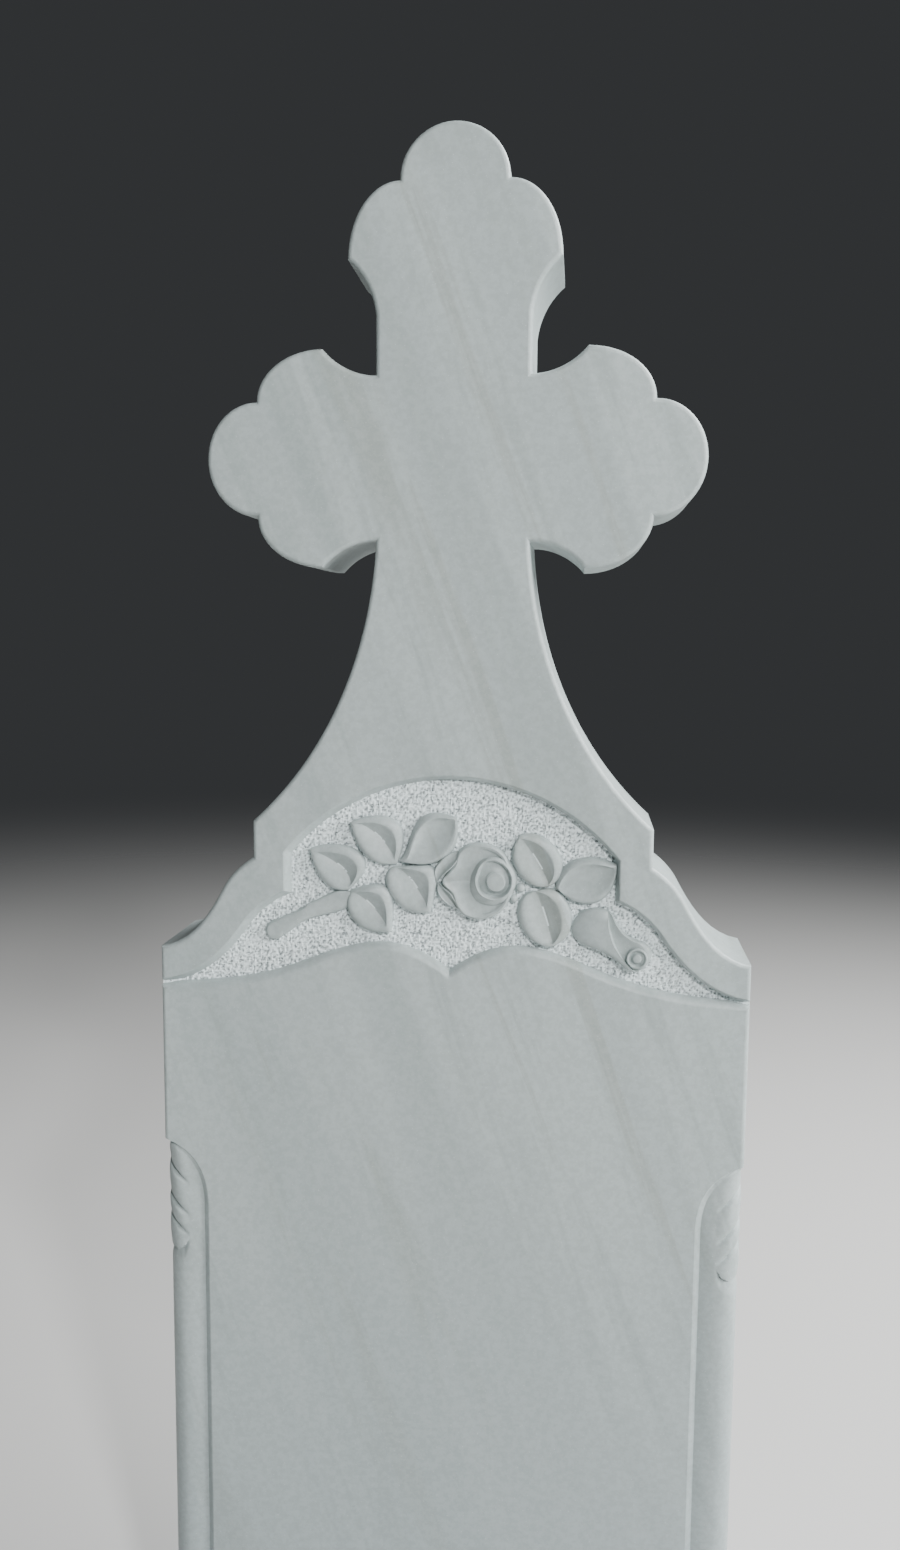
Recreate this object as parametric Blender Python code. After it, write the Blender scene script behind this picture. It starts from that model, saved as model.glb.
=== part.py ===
"""Cross headstone carved from one slab: a cross with trefoil ends rises from a shouldered stone.

Metres. X is right, the carved front faces -Y, Z is up from the underside. The stone is symmetrical about
X = 0, except for the branch of leaves with a rose and a bud in its sunken field.
"""

import math

import bmesh
import bpy
import numpy as np

# The whole stone
HEIGHT = 1.400
WIDTH = 0.496
THICKNESS = 0.100
ARRIS = 0.005

# The cross: how far each level lies below the top, and the widths of its parts
ARM_DROP = 0.2565
ARM_SPAN = 0.402
NECK_WIDTH = 0.1245
ARM_WIDTH = 0.131
# Each trefoil end: width and depth of the tip lobe, width and depth of all lobes, length of the hollow
TOP_END = (0.087, 0.043, 0.170, 0.102, 0.044)
ARM_END = (0.091, 0.041, 0.173, 0.095, 0.040)

# The flare of the stem and the shoulders of the slab
SHOULDER_WIDTH = 0.333
SHOULDER_DROP = 0.553
SHOULDER_HEIGHT = 0.031
FLARE_ANGLES = (-87, -42)
OGEE_MID = (0.0265, -0.027)
OGEE_ANGLES = (-32, -62, -8)
SLAB_DROP = 0.663

# The sunken field above the slab's face, and the slopes that border it
FIELD_DROP = 0.5115
FIELD_HALF_WIDTH = 0.140
FIELD_ARCH_RISE = 0.067
FIELD_CHEEK = 0.033
FIELD_OGEE_MID = (0.037, -0.030)
FIELD_OGEE_ANGLES = (-22, -56, -5)
FIELD_END_DROP = 0.691
FIELD_DEPTH = 0.009
FIELD_SLOPE = 0.0042
# How many slope widths lie between both edges where the field gets its full depth
FIELD_TAPER = 1.75
# The face's upper edge, like the top of an open book: the fold, the crest of a page and the page's end
FOLD_DROP = 0.684
CREST = (0.056, 0.0235)
PAGE_MID = (0.128, 0.003)
PAGE_END_DROP = 0.701
PAGE_SLOPE = 0.005
PAGE_ANGLES = (36, 0, -21, -1)

# The round columns let into both front corners: the recess with its arched stops and the column's section
COLUMN_TOP_DROP = 0.8335
COLUMN_FOOT = 0.092
RECESS_WIDTH = 0.038
RECESS_STOP = 0.060
RECESS_ANGLES = (-20, -89)
RECESS_PULL = 0.42
LIP = 0.004
HOLLOW_DEPTH = 0.0042
COLUMN_RADIUS = 0.0159
COLUMN_INSET = 0.0009
# The leaves round a column's head: the grooves between them, their swell between grooves, their slant
CAPITAL_LENGTH = 0.100
GROOVES = (0.0020, 0.0195, 0.0485, 0.0668, 0.0950)
LEAF_RISE = ((0.0, -1.0), (0.13, 0.3), (0.45, 1.0), (0.85, 0.6))
LEAF_SWELL = 0.0013
LEAF_SLANT = 0.72
SLANT_FADE = (0.0, 0.030, 0.070, 0.105)
# Where the leaves start, are full and end across the column, from the side face to the front
LEAF_REACH = (-0.034, -0.022, 0.004, 0.016)
HOOK_UNDERCUT = 0.0026
HOOK_RECOVERY = 0.012

# The carving stands on the ground of the field. Its places are measured from the middle of the slab's top
CARVING_DROP = 0.663
BED = -0.002
# Each leaf: base, tip, then for each side the angle and pull at the base and the angle and pull at the tip
LEAVES = (
    ((-0.0860, 0.0525), (-0.1183, 0.0875), (191, 0.39, 96, 0.54), (40, 1.00, 201, 0.65)),
    ((-0.0449, 0.0761), (-0.0840, 0.1105), (194, 0.64, 86, 0.12), (66, 0.91, 206, 0.49)),
    ((-0.0432, 0.0787), (0.0046, 0.1163), (-18, 0.51, 103, 0.59), (46, 0.31, -20, 0.73)),
    ((-0.0460, 0.0740), (-0.0160, 0.0365), (190, 0.44, 21, 0.72), (2, 0.73, -103, 1.02)),
    ((-0.0842, 0.0525), (-0.0495, 0.0182), (-121, 0.44, 14, 0.61), (20, 0.65, -98, 0.89)),
    ((0.0815, 0.0605), (0.0576, 0.1030), (198, 0.41, 51, 0.60), (22, 0.59, 197, 0.59)),
    ((0.0873, 0.0602), (0.1370, 0.0805), (-49, 0.68, 96, 0.60), (82, 0.51, -22, 0.46)),
    ((0.0715, 0.0560), (0.0868, 0.0107), (182, 0.59, 13, 0.65), (27, 0.63, 200, 0.64)),
)
# Heights across a leaf, from its lower left edge over the folded midrib to its rolled upper right edge
LEAF_PROFILE = (
    (-1.0, 0.0036), (-0.86, 0.0068), (-0.4, 0.0050), (0.0, 0.0023), (0.3, 0.0052), (0.62, 0.0075),
    (1.0, 0.0036),
)
ROUND_PROFILE = (
    (-1.0, 0.0020), (-0.8, 0.0052), (-0.4, 0.0074), (0.0, 0.0080), (0.4, 0.0076), (0.8, 0.0056),
    (1.0, 0.0022),
)
FLAT_PROFILE = ((-1.0, 0.0030), (-0.6, 0.0044), (0.0, 0.0048), (0.6, 0.0044), (1.0, 0.0030))
# How soon a form reaches its full height from its base, and how blunt it is at both ends
BASE_RAMP = 2.2
END_BLUNTNESS = 0.5
# Both sides of the stem and of the bud, from end to end
STEM = (
    (
        (-0.1570, 0.0165), (-0.1541, 0.0225), (-0.1478, 0.0255), (-0.1413, 0.0284), (-0.1349, 0.0313),
        (-0.1286, 0.0343), (-0.1230, 0.0384), (-0.1168, 0.0417), (-0.1105, 0.0448), (-0.1043, 0.0481),
        (-0.0979, 0.0510), (-0.0910, 0.0520), (-0.0840, 0.0510),
    ),
    (
        (-0.1570, 0.0165), (-0.1538, 0.0094), (-0.1464, 0.0085), (-0.1396, 0.0128), (-0.1331, 0.0177),
        (-0.1268, 0.0226), (-0.1196, 0.0263), (-0.1120, 0.0289), (-0.1042, 0.0311), (-0.0964, 0.0331),
        (-0.0889, 0.0360), (-0.0854, 0.0431), (-0.0840, 0.0510),
    ),
)
BUD = (
    (
        (0.1310, 0.0415), (0.1223, 0.0435), (0.1134, 0.0422), (0.1058, 0.0377), (0.1013, 0.0301),
        (0.1012, 0.0212), (0.1066, 0.0142), (0.1148, 0.0108), (0.1235, 0.0084), (0.1315, 0.0044),
        (0.1388, -0.0008), (0.1460, -0.0062), (0.1545, -0.0086),
    ),
    (
        (0.1310, 0.0415), (0.1353, 0.0372), (0.1381, 0.0317), (0.1417, 0.0266), (0.1461, 0.0223),
        (0.1514, 0.0190), (0.1572, 0.0169), (0.1628, 0.0144), (0.1668, 0.0098), (0.1671, 0.0037),
        (0.1646, -0.0019), (0.1602, -0.0062), (0.1545, -0.0086),
    ),
)
# Each small leaf behind the rose, given as the leaves are
SEPALS = (
    ((0.0080, 0.0880), (-0.0090, 0.0620), (200, 0.45, -60, 0.30), (-90, 0.30, -130, 0.30)),
    ((-0.0090, 0.0590), (0.0070, 0.0370), (-110, 0.30, -20, 0.45), (-50, 0.30, -60, 0.30)),
)
# The rose: (direction in degrees, radius) of its outer petals and of its rolled heart
ROSE_CENTRE = (0.0363, 0.0632)
CUP_EDGE = (
    (0, 0.0185), (40, 0.0190), (56, 0.0215), (68, 0.0249), (87, 0.0294), (109, 0.0341), (126, 0.0381),
    (140, 0.0389), (152, 0.0364), (160, 0.0360), (170, 0.0392), (180, 0.0435), (190, 0.0390), (200, 0.0366),
    (213, 0.0379), (230, 0.0384), (252, 0.0340), (272, 0.0287), (294, 0.0240), (308, 0.0205), (330, 0.0185),
)
HEART_EDGE = (
    (10, 0.0194), (40, 0.0206), (70, 0.0222), (100, 0.0220), (120, 0.0212), (146, 0.0196), (175, 0.0198),
    (200, 0.0214), (226, 0.0224), (258, 0.0212), (283, 0.0202), (308, 0.0198), (339, 0.0184),
)
CUP_LEVELS = ((1.0, 0.0030), (0.95, 0.0056), (0.8, 0.0056), (0.5, 0.0046), (0.0, 0.0042))
HEART_LEVELS = (
    (1.0, 0.0042), (0.95, 0.0052), (0.80, 0.0078), (0.75, 0.0080), (0.66, 0.0056),
    (0.50, 0.0070), (0.42, 0.0082), (0.0, 0.0090),
)
BUD_HEART = (0.1553, 0.0029)
BUD_HEART_RADIUS = 0.0090
BUD_HEART_LEVELS = (
    (1.0, 0.0050), (0.9, 0.0076), (0.66, 0.0072), (0.58, 0.0060), (0.5, 0.0078), (0.0, 0.0084),
)
BEADS = ((0.0587, 0.0586), (0.0530, 0.0493))
BEAD_RADIUS = 0.0038
BEAD_LEVELS = ((1.0, 0.0020), (0.8, 0.0045), (0.45, 0.0062), (0.0, 0.0068))

# How finely the curves are cut into flats
ARC_STEPS = 10
LEAF_STEPS = 8
ROUND_STEPS = 36
COLUMN_STEPS = 14

FRONT = -THICKNESS / 2
SLAB_TOP = HEIGHT - SLAB_DROP


def heading(angle):
    """The unit step in the direction of an angle in degrees."""
    return np.array([math.cos(math.radians(angle)), math.sin(math.radians(angle))])


def bend(start, angle, end, end_angle, steps, pull=None, end_pull=None):
    """Points after the start along a cubic curve that leaves and arrives at the given angles."""
    start, end = np.array(start, float), np.array(end, float)
    chord = np.hypot(*(end - start))
    circle_pull = 1 / (3 * math.cos(math.radians(end_angle - angle) / 4) ** 2)
    first = start + heading(angle) * chord * (circle_pull if pull is None else pull)
    last = end - heading(end_angle) * chord * (circle_pull if end_pull is None else end_pull)
    t = np.linspace(0, 1, steps + 1)[1:, None]
    return (1 - t) ** 3 * start + 3 * (1 - t) ** 2 * t * first + 3 * (1 - t) * t * t * last + t**3 * end


def quarter(centre, across, along, steps):
    """Points after the start along a quarter of an ellipse, from behind the centre to beside it."""
    t = np.linspace(0, math.pi / 2, steps + 1)[1:, None]
    return np.array(centre) + np.hstack([across * np.sin(t), -along * np.cos(t)])


def trefoil(end, neck):
    """Half the edge of a trefoil end as (out from its axis, back from its tip), after the tip itself."""
    tip_width, tip_depth, span, depth, scoop = end
    tip_side = tip_width / 2
    tip = quarter((0, tip_depth), tip_side, tip_depth, ARC_STEPS)
    lobe = quarter((tip_side, depth), span / 2 - tip_side, depth - tip_depth, ARC_STEPS)
    hollow = bend((span / 2, depth), 140, (neck / 2, depth + scoop), 95, ARC_STEPS - 3)
    return np.vstack([tip, lobe, hollow])


def half_outline():
    """The right edge of the stone from its top to its foot."""
    arm = HEIGHT - ARM_DROP
    neck = NECK_WIDTH / 2
    top = trefoil(TOP_END, NECK_WIDTH) * [1, -1] + [0, HEIGHT]
    end = trefoil(ARM_END, ARM_WIDTH)
    upper = np.column_stack([ARM_SPAN / 2 - end[:, 1], arm + end[:, 0]])
    lower = np.column_stack([ARM_SPAN / 2 - end[:, 1], arm - end[:, 0]])
    shoulder = np.array([SHOULDER_WIDTH / 2, HEIGHT - SHOULDER_DROP])
    under = shoulder - [0, SHOULDER_HEIGHT]
    middle = under + OGEE_MID
    corner = (WIDTH / 2, SLAB_TOP)
    leave, turn, arrive = OGEE_ANGLES
    pieces = [
        [(0, HEIGHT)],
        top,
        [(neck, arm + ARM_WIDTH / 2)],
        upper[::-1],
        [(ARM_SPAN / 2, arm)],
        lower,
        [(neck, arm - ARM_WIDTH / 2)],
        bend((neck, arm - ARM_WIDTH / 2), FLARE_ANGLES[0], shoulder, FLARE_ANGLES[1], ARC_STEPS + 6),
        [under],
        bend(under, leave, middle, turn, ARC_STEPS - 3),
        bend(middle, turn, corner, arrive, ARC_STEPS - 2),
        [(WIDTH / 2, 0)],
    ]
    return np.vstack(pieces)


def offset(points, width, closed):
    """Points moved to the right of the line's direction by a width, with mitred corners."""
    before = np.roll(points, 1, axis=0)
    after = np.roll(points, -1, axis=0)
    if not closed:
        before[0] = 2 * points[0] - points[1]
        after[-1] = 2 * points[-1] - points[-2]
    normals = []
    for step in (points - before, after - points):
        step = step / np.hypot(step[:, 0], step[:, 1])[:, None]
        normals.append(np.column_stack([step[:, 1], -step[:, 0]]))
    middle = normals[0] + normals[1]
    middle = middle / (middle * normals[0]).sum(1)[:, None]
    return points + middle * np.reshape(width, (-1, 1))


def mirrored(half):
    """A line from the middle to the right, carried on from its mirror image."""
    left = half[:0:-1] * [-1, 1]
    return np.vstack([left, half])


def upright(points, depth):
    """Points of the front view as points in space at a depth behind the front plane."""
    depth = np.broadcast_to(depth, len(points))
    return np.column_stack([points[:, 0], FRONT + depth, points[:, 1]])


def skin(name, rings):
    """One closed solid from rings of points, with quads between the rings and a flat cap at each end."""
    count = len(rings[0])
    points = np.vstack(rings)
    faces = []
    for ring in range(len(rings) - 1):
        for side in range(count):
            a = ring * count + side
            b = ring * count + (side + 1) % count
            faces.append((a, b, b + count, a + count))
    faces.append(tuple(range(count)))
    faces.append(tuple(range(len(points) - count, len(points))))
    return solid(name, points, faces)


def solid(name, points, faces):
    """A mesh object with points that share a place joined, and its faces turned outward."""
    mesh = bpy.data.meshes.new(name)
    mesh.from_pydata(points.tolist(), [], faces)
    work = bmesh.new()
    work.from_mesh(mesh)
    bmesh.ops.remove_doubles(work, verts=work.verts, dist=1e-6)
    bmesh.ops.dissolve_degenerate(work, edges=work.edges, dist=1e-6)
    bmesh.ops.recalc_face_normals(work, faces=work.faces)
    if work.calc_volume(signed=True) < 0:
        bmesh.ops.reverse_faces(work, faces=work.faces)
    work.to_mesh(mesh)
    work.free()
    item = bpy.data.objects.new(name, mesh)
    bpy.context.scene.collection.objects.link(item)
    return item


def combine(target, other, operation, solver="EXACT"):
    """Adds the other solid to the target or cuts it away, and hides the other one."""
    step = target.modifiers.new(other.name, "BOOLEAN")
    step.operation = operation
    step.solver = solver
    step.object = other
    other.hide_render = True
    other.display_type = "WIRE"


def slab():
    """The whole outline as a slab, with its front and back edges eased all round but not under the foot."""
    edge = mirrored(half_outline())
    foot = edge[:, 1] < 1e-9
    inner = offset(edge, ARRIS, True)
    inner[foot, 1] = 0
    inner[foot, 0] = np.sign(edge[foot, 0]) * (WIDTH / 2 - ARRIS)
    levels = ((inner, 0), (edge, ARRIS), (edge, THICKNESS - ARRIS), (inner, THICKNESS))
    return skin("headstone", [upright(line, depth) for line, depth in levels])


def field():
    """The cutter of the sunken field: flat ground, a slope to the cross above and one to the face below."""
    top = HEIGHT - FIELD_DROP
    half = FIELD_HALF_WIDTH
    corner = top - FIELD_ARCH_RISE
    spread = math.degrees(2 * math.atan2(FIELD_ARCH_RISE, half))
    cheek = np.array([half, corner - FIELD_CHEEK])
    middle = cheek + FIELD_OGEE_MID
    end = np.array([WIDTH / 2, HEIGHT - FIELD_END_DROP])
    leave, turn, arrive = FIELD_OGEE_ANGLES
    past = np.array([2 * ARRIS, 0])
    upper = np.vstack([
        [(0, top)],
        bend((0, top), 0, (half, corner), -spread, ARC_STEPS + 4),
        np.linspace((half, corner), cheek, 4)[1:],
        bend(cheek, leave, middle, turn, ARC_STEPS - 3),
        bend(middle, turn, end, arrive, ARC_STEPS),
        [end + past],
    ])
    fold = np.array([0, HEIGHT - FOLD_DROP])
    crest = fold + CREST
    page = fold + PAGE_MID
    page_end = np.array([WIDTH / 2, HEIGHT - PAGE_END_DROP])
    rise, level, fall, run = PAGE_ANGLES
    curve = np.vstack([
        [fold],
        bend(fold, rise, crest, level, 4 * ARC_STEPS),
        bend(crest, level, page, fall, 4 * ARC_STEPS),
        bend(page, fall, page_end, run, 4 * ARC_STEPS),
        [page_end + past],
    ])
    steps = np.hypot(*np.diff(upper, axis=0).T)
    along = np.append(0, np.cumsum(steps)) / steps.sum() * curve[-1, 0]
    lower = np.column_stack([along, np.interp(along, curve[:, 0], curve[:, 1])])
    gap = np.hypot(*(upper - lower).T)
    part = np.minimum(1, gap / (FIELD_TAPER * (FIELD_SLOPE + PAGE_SLOPE)))
    upper, lower = mirrored(upper), mirrored(lower)
    part = np.append(part[:0:-1], part)
    upper_foot = offset(upper, FIELD_SLOPE * part, False)
    lower_foot = offset(lower, -PAGE_SLOPE * part, False)
    depth = FIELD_DEPTH * part
    out = ARRIS / depth[:, None]
    line = [
        upright(upper - (upper_foot - upper) * out, -ARRIS),
        upright(upper_foot, depth),
        upright(lower_foot, depth),
        upright(lower - (lower_foot - lower) * out, -ARRIS),
    ]
    rings = np.stack(line, axis=1)
    return skin("field_cut", list(rings))


def column_section():
    """The recess's floor as (in from the side, back from the front): hollow, round column, hollow."""
    centre = COLUMN_RADIUS + COLUMN_INSET
    run = RECESS_WIDTH - LIP - centre
    drop = HOLLOW_DEPTH - COLUMN_INSET
    radius = (run**2 + drop**2) / (2 * drop)
    tilt = np.linspace(math.asin(run / radius), 0, ARC_STEPS)[:, None]
    hollow = np.hstack([centre + radius * np.sin(tilt), COLUMN_INSET + radius * (1 - np.cos(tilt))])
    turn = np.linspace(0, math.pi / 2, 2 * ARC_STEPS + 1)[1:-1, None]
    corner = centre - COLUMN_RADIUS * np.hstack([np.sin(turn), np.cos(turn)])
    return np.vstack([hollow, corner, hollow[::-1, ::-1]])


def column_levels(length):
    """Each ring of a corner cutter: how far it lies below the recess's point and how far it stands out."""
    levels = [(ARRIS / 10, 0.0)]
    for first, last in zip(GROOVES[:-1], GROOVES[1:]):
        for part, swell in LEAF_RISE:
            levels.append((first + (last - first) * part, swell * LEAF_SWELL))
    levels += [
        (CAPITAL_LENGTH, LEAF_SWELL / 2),
        (CAPITAL_LENGTH + ARRIS / 5, -HOOK_UNDERCUT),
        (CAPITAL_LENGTH + HOOK_RECOVERY, 0.0),
    ]
    foot = np.linspace(1, 0, ARC_STEPS) ** 2 * RECESS_STOP
    foot[-1] = ARRIS / 10
    return levels + [(length - up, 0.0) for up in foot]


def corner_cut(side):
    """The cutter of one front corner. It leaves a round column with a leaf head between arched stops."""
    leave, arrive = RECESS_ANGLES
    full = (RECESS_WIDTH, -RECESS_STOP)
    stop = bend((0, 0), leave, full, arrive, 4 * ARC_STEPS, RECESS_PULL, RECESS_PULL)
    stop = np.vstack([[(0, 0)], stop])
    section = column_section()
    middle = len(section) // 2
    arc = np.append(0, np.cumsum(np.hypot(*np.diff(section, axis=0).T)))
    arc = arc - arc[middle]
    step = np.gradient(section, axis=0)
    outward = np.column_stack([step[:, 1], -step[:, 0]]) / np.hypot(step[:, 0], step[:, 1])[:, None]
    if outward[middle].sum() > 0:
        outward = -outward
    top = HEIGHT - COLUMN_TOP_DROP
    length = top - COLUMN_FOOT
    spread = np.linspace(-1, 1, COLUMN_STEPS + 1)
    rings = []
    for level, swell in column_levels(length):
        slant = LEAF_SLANT * np.interp(level, SLANT_FADE, (0, 1, 1, 0))
        down = np.full(len(spread), level)
        for _ in range(4):
            width = np.interp(np.minimum(down, length - down), -stop[:, 1], stop[:, 0])
            wall = np.maximum(width - LIP, width / 2)
            along = spread * np.interp(-wall, -section[:middle + 1, 0], arc[:middle + 1])
            across = np.clip(along, LEAF_REACH[0], LEAF_REACH[3])
            down = np.clip(level + slant * (across - np.mean(LEAF_REACH[1:3])), ARRIS / 20, length)
        points = np.column_stack([np.interp(-along, arc, section[:, k]) for k in (0, 1)])
        normal = np.column_stack([np.interp(-along, arc, outward[:, k]) for k in (0, 1)])
        lift = swell * np.interp(along, LEAF_REACH, (0, 1, 1, 0))
        points = np.clip(points + normal * lift[:, None], 0, wall[:, None])
        reach = width + ARRIS * LIP / HOLLOW_DEPTH
        loop = np.vstack([points, [(-ARRIS, reach[-1]), (-ARRIS, -ARRIS), (reach[0], -ARRIS)]])
        down = np.append(down, [down[-1], level, down[0]])
        rings.append(np.column_stack([side * (WIDTH / 2 - loop[:, 0]), FRONT + loop[:, 1], top - down]))
    return skin("corner_cut", rings)


def place(point):
    """One or more points of the carving in the front view of the whole stone."""
    return np.asarray(point) + [0, HEIGHT - CARVING_DROP]


def leaf_sides(shape):
    """Both sides of a leaf from its base to its tip."""
    base, tip, left, right = shape
    sides = []
    for leave, pull, arrive, end_pull in (left, right):
        sides.append(np.vstack([[base], bend(base, leave, tip, arrive, LEAF_STEPS, pull, end_pull)]))
    return sides


def spread_between(name, sides, profile, rise):
    """A carved form between two curved sides that share their ends, with a profile of heights across it."""
    sides = [place(np.array(side)) for side in sides]
    spine = (sides[0] + sides[1]) / 2
    t = np.linspace(0, 1, len(spine))
    lift = rise + (1 - rise) * np.sin(math.pi / 2 * np.minimum(1, BASE_RAMP * t))
    body = np.clip(np.sin(math.pi * t), 0, 1) ** END_BLUNTNESS
    middle = np.mean([height for across, height in profile])
    upper, under = [], []
    for across, height in profile:
        edge = sides[0] if across < 0 else sides[1]
        line = spine + (edge - spine) * abs(across)
        upper.append(upright(line, FIELD_DEPTH - (middle + (height - middle) * body) * lift))
        under.append(upright(line, FIELD_DEPTH - BED))
    loop = upper + under[::-1]
    count = len(loop)
    points = np.stack(loop, axis=1).reshape(-1, 3)
    faces = []
    for row in range(len(spine) - 1):
        for side in range(count):
            a = row * count + side
            b = row * count + (side + 1) % count
            faces.append((a, b, b + count, a + count))
    return solid(name, points, faces)


def by_direction(table):
    """A radius for each direction round a flower, from a table of (direction in degrees, radius)."""
    angles, radii = np.array(table).T
    return np.interp(np.arange(ROUND_STEPS) * 360 / ROUND_STEPS, angles, radii, period=360)


def mound(name, centre, radius, levels):
    """A round carved form: rings at parts of its radius, which may change with direction, and their heights."""
    turn = np.arange(ROUND_STEPS) * 2 * math.pi / ROUND_STEPS
    edge = np.column_stack([np.cos(turn), np.sin(turn)]) * np.broadcast_to(radius, ROUND_STEPS)[:, None]
    middle = place(centre)
    rings = [upright(middle + edge, FIELD_DEPTH - BED)]
    for part, height in levels:
        rings.append(upright(middle + edge * part, FIELD_DEPTH - height))
    return skin(name, rings)


def marble():
    """Pale grey marble."""
    material = bpy.data.materials.new("marble")
    material.use_nodes = True
    shader = material.node_tree.nodes["Principled BSDF"]
    shader.inputs["Base Color"].default_value = (0.44, 0.46, 0.46, 1)
    shader.inputs["Roughness"].default_value = 0.5
    return material


def build():
    """Clears the scene and carves the stone."""
    for item in list(bpy.data.objects):
        bpy.data.objects.remove(item)
    stone = slab()
    combine(stone, field(), "DIFFERENCE")
    for side in (-1, 1):
        combine(stone, corner_cut(side), "DIFFERENCE")
    carving = [spread_between("stem", STEM, ROUND_PROFILE, 0.6)]
    carving += [spread_between("sepal", leaf_sides(shape), FLAT_PROFILE, 0.8) for shape in SEPALS]
    carving.append(mound("rose_cup", ROSE_CENTRE, by_direction(CUP_EDGE), CUP_LEVELS))
    carving += [spread_between("leaf", leaf_sides(shape), LEAF_PROFILE, 0.5) for shape in LEAVES]
    carving.append(mound("rose_heart", ROSE_CENTRE, by_direction(HEART_EDGE), HEART_LEVELS))
    carving.append(spread_between("bud", BUD, ROUND_PROFILE, 0.7))
    carving.append(mound("bud_heart", BUD_HEART, BUD_HEART_RADIUS, BUD_HEART_LEVELS))
    carving += [mound("bead", bead, BEAD_RADIUS, BEAD_LEVELS) for bead in BEADS]
    for item in carving:
        combine(stone, item, "UNION", "MANIFOLD")
    stone.data.materials.append(marble())


build()
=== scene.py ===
"""Dresses the cross headstone: one slab of honed, veined marble with a punched field, carving and corner columns.

Metres. X is right, the carved front faces -Y, Z is up from the underside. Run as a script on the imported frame.
"""

import math

import bmesh
import bpy
import numpy as np
from bpy.props import FloatProperty, FloatVectorProperty, PointerProperty
from bpy.types import Operator, Panel, PropertyGroup
from mathutils import Matrix, Vector


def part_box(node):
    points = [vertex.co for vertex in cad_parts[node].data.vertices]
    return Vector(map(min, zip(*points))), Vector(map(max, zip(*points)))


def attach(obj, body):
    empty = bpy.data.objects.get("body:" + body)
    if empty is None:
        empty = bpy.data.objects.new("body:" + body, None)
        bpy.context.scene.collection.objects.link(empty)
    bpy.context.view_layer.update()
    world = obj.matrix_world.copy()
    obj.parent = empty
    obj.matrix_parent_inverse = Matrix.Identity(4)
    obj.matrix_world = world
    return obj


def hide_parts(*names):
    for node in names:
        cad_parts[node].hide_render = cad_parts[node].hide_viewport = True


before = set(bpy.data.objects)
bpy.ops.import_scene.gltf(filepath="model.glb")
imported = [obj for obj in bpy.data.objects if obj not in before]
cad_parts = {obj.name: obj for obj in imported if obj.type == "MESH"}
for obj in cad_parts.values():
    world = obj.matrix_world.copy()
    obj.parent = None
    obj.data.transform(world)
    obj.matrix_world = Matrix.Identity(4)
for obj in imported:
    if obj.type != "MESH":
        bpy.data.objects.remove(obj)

bl_info = {
    "name": "Cross headstone",
    "version": (1, 0, 0),
    "blender": (4, 5, 0),
    "location": "3D View > Sidebar > Headstone",
    "description": "Carves the cross headstone inside its packed frame, finishes its marble and lights it",
    "category": "Add Mesh",
}

NODE = "headstone"
PIECE = "headstone_marble"
# A cut or a join that leaves fewer faces than this has failed
FEWEST_FACES = 100
LOW, HIGH = (np.array(corner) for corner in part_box(NODE))

# The cross: how far each level lies below the top, and the widths of its parts
ARM_DROP = 0.2565
ARM_SPAN = 0.402
NECK_WIDTH = 0.1245
ARM_WIDTH = 0.131
# Each trefoil end: width and depth of its tip lobe, width and depth of all three lobes, length of the scoop
TOP_END = (0.087, 0.043, 0.170, 0.102, 0.044)
ARM_END = (0.091, 0.041, 0.173, 0.095, 0.040)

# The flare of the stem and the shoulders of the slab
SHOULDER_WIDTH = 0.333
SHOULDER_DROP = 0.553
SHOULDER_HEIGHT = 0.031
FLARE_ANGLES = (-87, -42)
OGEE_MID = (0.0265, -0.027)
OGEE_ANGLES = (-32, -62, -8)
SLAB_DROP = 0.663

# The sunken field above the slab's face
FIELD_DROP = 0.5115
FIELD_HALF_WIDTH = 0.140
FIELD_ARCH_RISE = 0.067
FIELD_CHEEK = 0.033
FIELD_OGEE_MID = (0.037, -0.030)
FIELD_OGEE_ANGLES = (-22, -56, -5)
FIELD_END_DROP = 0.691
# How far the wall leans in from the cross at the left and at the right, and the share of the change in a metre
FIELD_SLOPES = (0.0052, 0.0032)
SLOPE_CHANGE = 6
# The wall's eased top edge: (inset, depth), from in front of the face
WALL_EDGE = ((-0.004, -0.0012), (-0.0009, 0.0), (-0.0003, 0.00015), (0.0003, 0.0006), (0.0008, 0.0013))
# The field runs out to nothing where it is narrower than this many times both slopes
FIELD_TAPER = 1.75
# The upper edge of the face below, shaped like the top of an open book: its fold, crest, page and end
FOLD_DROP = 0.684
CREST = (0.056, 0.0235)
PAGE_MID = (0.128, 0.003)
PAGE_END_DROP = 0.701
PAGE_SLOPE = 0.0065
PAGE_ANGLES = (36, 0, -21, -1)
PAGE_START = (-0.006, -0.0016)

# The punched ground: how far a mark spreads, how much of its depth lies above the nominal ground, and the coarser
# unevenness under the marks: (multiple of their pitch, depth)
MARK_REACH = 0.62
MARK_LIFT = 0.6
UNEVEN = (5.3, 0.0002)
GROUND_MARGIN = 0.006
# A face is struck within this many depths of a mark, below this area in squares of the ground's grid, and where
# its normal faces forward by more than this
STRUCK_DEPTH = 1.4
STRUCK_AREA = 8
STRUCK_SLOPE = 0.3

# The round columns in both front corners
COLUMN_TOP_DROP = 0.8335
COLUMN_FOOT = 0.092
RECESS_WIDTH = 0.038
RECESS_STOP = 0.060
RECESS_ANGLES = (-20, -89)
RECESS_PULL = 0.42
LIP = 0.004
COLUMN_RADIUS = 0.0159
COLUMN_INSET = 0.0009
HOLLOW_DEPTH = 0.0042
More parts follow.
